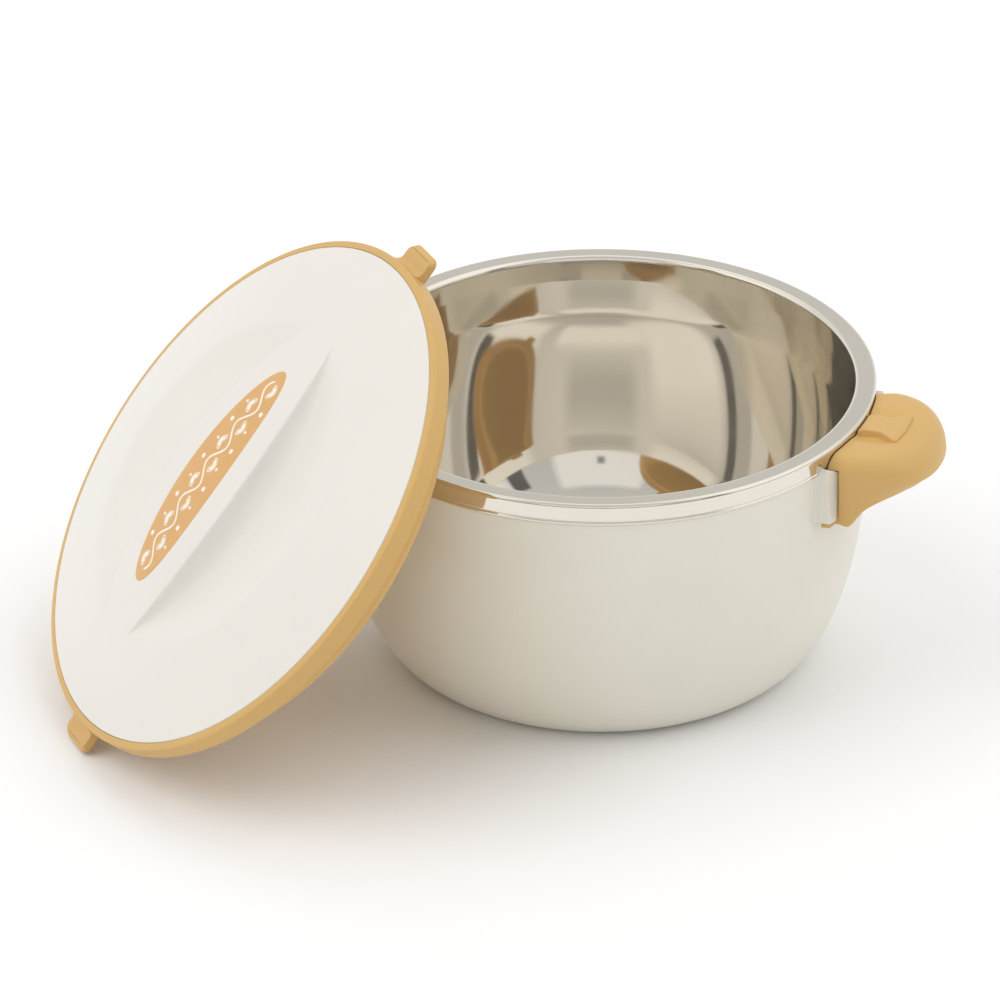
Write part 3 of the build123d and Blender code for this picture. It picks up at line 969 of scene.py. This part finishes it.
def soft_lower(a, b, reach):
    """The lower of two heights, with a smooth change from one to the other."""
    share = np.clip(0.5 + 0.5 * (b - a) / reach, 0, 1)
    return b * (1 - share) + a * share - reach * share * (1 - share)


def ridge_half(l, u):
    """Half of the ridge's width at a place along it. It is below 0 past the ridge's tips."""
    return np.sqrt(np.maximum(l.ridge_side**2 - u**2, 0)) - (l.ridge_side - l.ridge_half)


def lid_height(l, u, v):
    """Height of the lid's top: dome, scoops and the grip ridge with its round shoulders and root."""
    r = np.hypot(u, v)
    dome = dome_height(l, r)
    scooped = soft_lower(dome, np.where(r < l.scoop_radius + DISH_PAST, dish_height(l, r), 1.0), 1.6 * MM)
    half = ridge_half(l, u)
    edge_r = np.hypot(u, half)
    depth = np.maximum(dome_height(l, edge_r) - dish_height(l, edge_r), 0.02 * MM)
    turn, slope, tangent = 1 - math.cos(l.ridge_slope), math.tan(l.ridge_slope), math.tan(l.ridge_slope / 2)
    top_r = np.minimum(l.ridge_shoulder, 0.22 * depth / turn)
    root_r = np.minimum(l.ridge_root, 0.97 * depth / turn - top_r)
    across = np.abs(v) - half
    first = across + top_r * tangent
    last = across - depth / slope - root_r * tangent
    shoulder = top_r - np.sqrt(np.maximum(top_r**2 - first**2, 0))
    root = depth - root_r + np.sqrt(np.maximum(root_r**2 - last**2, 0))
    drop = np.where(first < top_r * math.sin(l.ridge_slope), shoulder, across * slope)
    drop = np.where(first <= 0, 0, drop)
    drop = np.where(last > -root_r * math.sin(l.ridge_slope), root, drop)
    drop = np.where(last >= 0, depth, drop)
    share = np.clip(drop / depth, 0, 1)
    return dome * (1 - share) + scooped * share


def dome_form(l):
    """The dome's skin: strips that follow the grip ridge, then rings out to the edge and into the ring."""
    reach = l.scoop_radius + 4 * MM
    tip = reach
    while math.hypot(tip, float(ridge_half(l, tip))) > reach:
        tip -= 0.01 * MM
    along = tip * np.sin(np.linspace(-QUARTER, QUARTER, 241))
    half = ridge_half(l, along)
    start = np.maximum(half - 5.5 * MM, half * 0.35)
    circle = np.sqrt(np.maximum(reach**2 - along**2, 0))
    start[[0, -1]] = circle[[0, -1]]
    width = circle - start
    near = np.minimum(20 * MM, width * 0.6)
    tip_bulge = (reach - tip) * (along / tip) ** 8
    outwards = [start + near * share for share in np.linspace(0, 1, NEAR_ROWS)[1:]]
    outwards += [start + near + (width - near) * share for share in np.linspace(0, 1, OUTER_ROWS)[1:]]
    rows = [np.stack([along, -across], 1) for across in outwards[::-1]]
    for share in np.linspace(-1, 1, CREST_ROWS):
        rows.append(np.stack([along + np.sign(along) * tip_bulge * (1 - share**2), start * share], 1))
    rows += [np.stack([along, across], 1) for across in outwards]
    plan = np.concatenate(rows)
    points = np.column_stack([plan, lid_height(l, *plan.T)])
    columns = len(along)

    crest = range(len(outwards) + 1, len(outwards) + CREST_ROWS - 1)
    edge_loop = list(range(columns))
    edge_loop += [i * columns + columns - 1 for i in crest]
    edge_loop += [(len(rows) - 1) * columns + j for j in range(columns - 1, -1, -1)]
    edge_loop += [i * columns for i in crest[::-1]]
    way = plan[edge_loop] / np.linalg.norm(plan[edge_loop], axis=1)[:, None]
    edge = 0.7 * MM
    levels = [(r, dome_height(l, r)) for r in np.linspace(reach, l.dome_radius - edge, 16)[1:]]
    top = levels[-1][1]
    for a in np.linspace(0, QUARTER, 5)[1:]:
        levels.append((l.dome_radius - edge + edge * math.sin(a), top - edge * (1 - math.cos(a))))
    levels += [(l.dome_radius, z) for z in np.linspace(top - edge, l.wall + 0.5 * MM, 4)[1:]]
    rings = [np.column_stack([way * r, np.full(len(way), z)]) for r, z in levels]
    return skirted(points, grid_faces(len(rows), columns), edge_loop, rings)


def inlay_form(l):
    """The inlay: an ellipse that follows the dome, with a rounded edge that goes down into the ridge."""
    disc, faces, rim = round_patch(48)
    half = np.array([l.inlay_length / 2, l.inlay_width / 2])
    edge = 0.12 * MM

    def laid(points, inset, lift):
        """Points of the disc, pulled to the inlay's size and laid over the dome."""
        plan = points * (half - inset)
        return np.column_stack([plan, dome_height(l, np.hypot(*plan.T)) + lift])

    levels = ((edge * 0.3, 0.07 * MM), (0, 0), (0, -0.4 * MM), (0, -0.9 * MM))
    rings = [laid(disc[rim], inset, lift) for inset, lift in levels]
    return skirted(laid(disc, edge, 0.10 * MM), faces, rim, rings)


class BOWL_OT_lid_dome(bpy.types.Operator):
    """Build the cream dome with its finger scoops and grip ridge."""

    bl_idname = "serving_bowl.lid_dome"
    bl_label = "Lid dome"

    def execute(self, context):
        l = context.scene.bowl_lid_sizes
        piece = new_object("lid_dome", *dome_form(l), merge=0.002 * MM)
        lean(piece, l)
        finish_piece(piece, materials(context.scene)["cream"], "lid", "lid_top", sharp=60)
        return {"FINISHED"}


class BOWL_OT_inlay(bpy.types.Operator):
    """Build the printed inlay on the grip ridge."""

    bl_idname = "serving_bowl.inlay"
    bl_label = "Grip inlay"

    def execute(self, context):
        l = context.scene.bowl_lid_sizes
        piece = new_object("grip_inlay", *inlay_form(l))
        print_map = piece.data.uv_layers.new(name="print")
        flat = np.array([v.co for v in piece.data.vertices])[:, :2] / MM
        corner = np.zeros(len(piece.data.loops), int)
        piece.data.loops.foreach_get("vertex_index", corner)
        print_map.data.foreach_set("uv", flat[corner].ravel())
        lean(piece, l)
        finish_piece(piece, materials(context.scene)["inlay"], "lid", "grip_insert")
        return {"FINISHED"}


def base_section(l):
    """Closed section of the lid's ochre half: underside, plug, ring and the tray inside."""
    t = l.wall
    inner = l.dome_radius + CLEARANCE / 2
    run = rounded([
        (0, -l.plug_depth, 0),
        (l.plug_radius, -l.plug_depth, 4 * MM),
        (l.plug_radius, 0, 1 * MM),
        (l.ring_radius, 0, 0.8 * MM),
        (l.ring_radius, l.ring_height, 1.1 * MM),
        (inner, l.dome_edge, 0.3 * MM),
        (inner, t, 0.5 * MM),
        (l.plug_radius - t, t, 1 * MM),
        (l.plug_radius - t, t - l.plug_depth, 1.5 * MM),
        (0, t - l.plug_depth, 0),
    ], 5)
    return split_long(run, 5 * MM)


def tab_form(l, side):
    """One lifting tab: a plate with a hollow root, round corners and a rolled lip along its end."""
    end, top, root, half, corner = l.tab_reach, l.tab_top, l.ring_radius, l.tab_half, l.tab_corner
    low_z, root_z, back = 0.15 * MM, 7.9 * MM, root - 2.5 * MM
    section = rounded([
        (back, low_z, 0),
        (end, low_z, 0.9 * MM),
        (end, 1.9 * MM, 0.8 * MM),
        (end - 2.1 * MM, top - 0.1 * MM, 0.9 * MM),
        (end - 2.6 * MM, top - 0.35 * MM, 0.25 * MM),
        (end - 3.0 * MM, top, 0.4 * MM),
        (root + 0.6 * MM, top, 3.2 * MM),
        (root - 0.4 * MM, root_z, 0.6 * MM),
        (back, root_z, 0),
    ], 5)
    section = split_long(section, 1.5 * MM)
    share = ramp(section[:, 0], root, end)
    steps = np.array([0, 0.25, 0.7, 1.3, 2.1, 3.0]) * MM
    middle = np.linspace(-half + corner, half - corner, 9)
    loops = []
    for y in [*(-half + steps), *middle, *(half - steps[::-1])]:
        past = max(0.0, abs(y) - (half - corner))
        shrink = corner - math.sqrt(max(corner**2 - past**2, 0))
        x = side * (section[:, 0] - shrink * share**2)
        loops.append(np.column_stack([x, np.full(len(x), side * y), section[:, 1]]))
    return loft(loops)


class BOWL_OT_lid_ring(bpy.types.Operator):
    """Build the ochre half of the lid with its two lifting tabs."""

    bl_idname = "serving_bowl.lid_ring"
    bl_label = "Lid ring and tabs"

    def execute(self, context):
        l = context.scene.bowl_lid_sizes
        piece = new_object("lid_ring", *lathe(base_section(l), 288))
        for side in (1, -1):
            tab = new_object("tab", *tab_form(l, side))
            soften(tab, 0.6 * MM, 50)
            combine(piece, tab, "UNION")
        lean(piece, l)
        finish_piece(piece, materials(context.scene)["ochre"], "lid", "lid_base", sharp=38)
        return {"FINISHED"}


# Filling plugs and foam


def plug_object(name, radius, height):
    """A push-in plug at a height: flat flange with a moulding dimple below, stem above."""
    flange, thickness, stem = radius + 3 * MM, 1.6 * MM, 2.4 * MM
    section = rounded([
        (0, -thickness + 0.5 * MM, 0),
        (1.6 * MM, -thickness + 0.5 * MM, 0.3 * MM),
        (2.2 * MM, -thickness, 0.4 * MM),
        (flange, -thickness, 0.7 * MM),
        (flange, 0, 0.2 * MM),
        (radius, 0, 0.2 * MM),
        (radius - 0.15 * MM, stem, 0.5 * MM),
        (0, stem, 0),
    ], 4)
    plug = new_object(name, *lathe(section, 96))
    plug.data.transform(Matrix.Translation((0, 0, height)))
    return plug


class BOWL_OT_fillings(bpy.types.Operator):
    """Build the two filling plugs, and finish the foam that the frame carries."""

    bl_idname = "serving_bowl.fillings"
    bl_label = "Plugs and foam"

    def execute(self, context):
        l = context.scene.bowl_lid_sizes
        stuff = materials(context.scene)
        plug = plug_object("base_plug", 9 * MM, context.scene.bowl_sizes.foot_height)
        finish_piece(plug, stuff["pearl"], "bowl", "base_fill_plug")
        plug = plug_object("lid_plug", 8 * MM, -l.plug_depth)
        lean(plug, l)
        finish_piece(plug, stuff["ochre"], "lid", "lid_fill_plug")
        for node in ("bowl_foam", "lid_foam"):
            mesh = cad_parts[node].data
            mesh.materials.clear()
            mesh.materials.append(stuff["foam"])
        return {"FINISHED"}


# The studio


def studio_world(tree, s):
    """Grey light all round with soft cards, among them side boxes and dark gear. The camera sees white."""
    x, y, z = tree.parts(tree.add("ShaderNodeTexCoord"))
    to_side = x * math.cos(s.turn) + y * math.sin(s.turn)
    to_camera = x * math.sin(s.turn) - y * math.cos(s.turn)
    around = tree.math("ARCTAN2", to_side, to_camera) * (360 / TURN)
    height = tree.math("ARCSINE", z) * (360 / TURN)
    level = tree.spread(to_camera, -0.7, 0.7, s.back, s.front)
    level = level + tree.spread(height, 55, 90) * (s.zenith - level)
    # light, then in degrees: way from the camera's side, half width, height, half height and soft edge
    for light, way, half_width, middle, half_height, soft in (
        (s.box, 95, 30, 52, 20, 12),
        (s.box, -78, 26, 44, 20, 12),
        (0.92, 0, 24, 34, 12, 5),
        (0.10, -52, 5, 34, 9, 2),
        (0.12, 50, 4, 32, 8, 2),
        (1.15, 180, 45, 58, 8, 8),
        (0.66, 180, 26, 29, 2, 12),
        (0.3, 0, 1.0, 29, 1.0, 2.2),
        (0.08, 0, 50, 7, 3, 4),
    ):
        aside = abs((abs(around) if way == 180 else around) - way)
        beside = tree.spread(aside, half_width, half_width + soft, 1, 0)
        above = tree.spread(abs(height - middle), half_height, half_height + soft, 1, 0)
        level = level + beside * above * (light - level)
    seen = Socket(tree, tree.add("ShaderNodeLightPath").output.node.outputs["Is Camera Ray"])
    level = level.highest(0.0) + seen * (1 - level)
    light = tree.add("ShaderNodeBackground", {}, {"Color": (1, 1, 1, 1), "Strength": level})
    tree.add("ShaderNodeOutputWorld", {}, {"Surface": light})


def place_camera(scene, s):
    """The camera, at the place from which the photograph was taken."""
    pitch, yaw = s.pitch, s.yaw
    forward = Vector((math.sin(yaw) * math.cos(pitch), math.cos(yaw) * math.cos(pitch), -math.sin(pitch)))
    level = Vector((math.cos(yaw), -math.sin(yaw), 0))
    raised = level.cross(forward)
    right = level * math.cos(s.roll) + raised * math.sin(s.roll)
    up = raised * math.cos(s.roll) - level * math.sin(s.roll)
    pose = Matrix((right, up, -forward)).transposed().to_4x4()
    pose.translation = Vector((0, -s.distance, s.camera_height))
    lens = bpy.data.cameras.new("camera")
    lens.lens = 252
    lens.sensor_width = 36
    lens.clip_end = 100
    camera = bpy.data.objects.new("camera", lens)
    camera.matrix_world = Matrix.Rotation(s.turn, 4, "Z") @ pose
    scene.collection.objects.link(camera)
    scene.camera = camera


class BOWL_OT_stage(bpy.types.Operator):
    """Set up the camera, the pale floor and the soft light."""

    bl_idname = "serving_bowl.stage"
    bl_label = "Stage"

    def execute(self, context):
        scene = context.scene
        s = scene.bowl_studio
        place_camera(scene, s)
        span = np.linspace(-6, 6, 25)
        x, y = np.meshgrid(span, span, indexing="ij")
        points = np.column_stack([x.ravel(), y.ravel(), np.full(x.size, -0.2 * MM)])
        floor = new_object("floor", points, grid_faces(25, 25))
        floor.data.materials.append(pale_floor(scene.bowl_finishes))

        world = bpy.data.worlds.new("studio")
        world.use_nodes = True
        scene.world = world
        studio_world(Shader("studio", world.node_tree), s)
        lamps = (("left_lamp", s.left_lamp, -67, 48), ("right_lamp", s.right_lamp, 95, 50))
        for name, strength, way, height in lamps:
            lamp = bpy.data.lights.new(name, "SUN")
            lamp.energy = strength
            lamp.angle = math.radians(50)
            sun = bpy.data.objects.new(name, lamp)
            around = Matrix.Rotation(s.turn + math.radians(way), 4, "Z")
            sun.matrix_world = around @ Matrix.Rotation(math.radians(90 - height), 4, "X")
            sun.visible_glossy = False
            scene.collection.objects.link(sun)
        scene.view_settings.view_transform = "Standard"
        return {"FINISHED"}


class BOWL_PT_panel(bpy.types.Panel):
    """Buttons for every piece of the serving bowl."""

    bl_label = "Serving Bowl"
    bl_idname = "BOWL_PT_panel"
    bl_space_type = "VIEW_3D"
    bl_region_type = "UI"
    bl_category = "Serving Bowl"

    def draw(self, context):
        for operator in OPERATORS:
            self.layout.operator(operator.bl_idname)
        for name in GROUPS:
            group = getattr(context.scene, name)
            box = self.layout.box()
            for key in group.__annotations__:
                box.prop(group, key, text=key.replace("_", " ").capitalize())


GROUPS = {
    "bowl_sizes": BowlSizes,
    "bowl_handle_sizes": HandleSizes,
    "bowl_lid_sizes": LidSizes,
    "bowl_finishes": Finishes,
    "bowl_studio": Studio,
}
OPERATORS = (
    BOWL_OT_stage,
    BOWL_OT_liner,
    BOWL_OT_shell,
    BOWL_OT_handles,
    BOWL_OT_lid_ring,
    BOWL_OT_lid_dome,
    BOWL_OT_inlay,
    BOWL_OT_fillings,
)
CLASSES = (*GROUPS.values(), *OPERATORS, BOWL_PT_panel)


def register():
    for kind in CLASSES:
        bpy.utils.register_class(kind)
    for name, group in GROUPS.items():
        setattr(bpy.types.Scene, name, PointerProperty(type=group))


def unregister():
    for name in GROUPS:
        delattr(bpy.types.Scene, name)
    for kind in reversed(CLASSES):
        bpy.utils.unregister_class(kind)


def main():
    """Build the whole scene."""
    register()
    bpy.ops.serving_bowl.stage()
    bpy.ops.serving_bowl.liner()
    bpy.ops.serving_bowl.shell()
    bpy.ops.serving_bowl.handles()
    bpy.ops.serving_bowl.lid_ring()
    bpy.ops.serving_bowl.lid_dome()
    bpy.ops.serving_bowl.inlay()
    bpy.ops.serving_bowl.fillings()


if __name__ == "__main__":
    main()
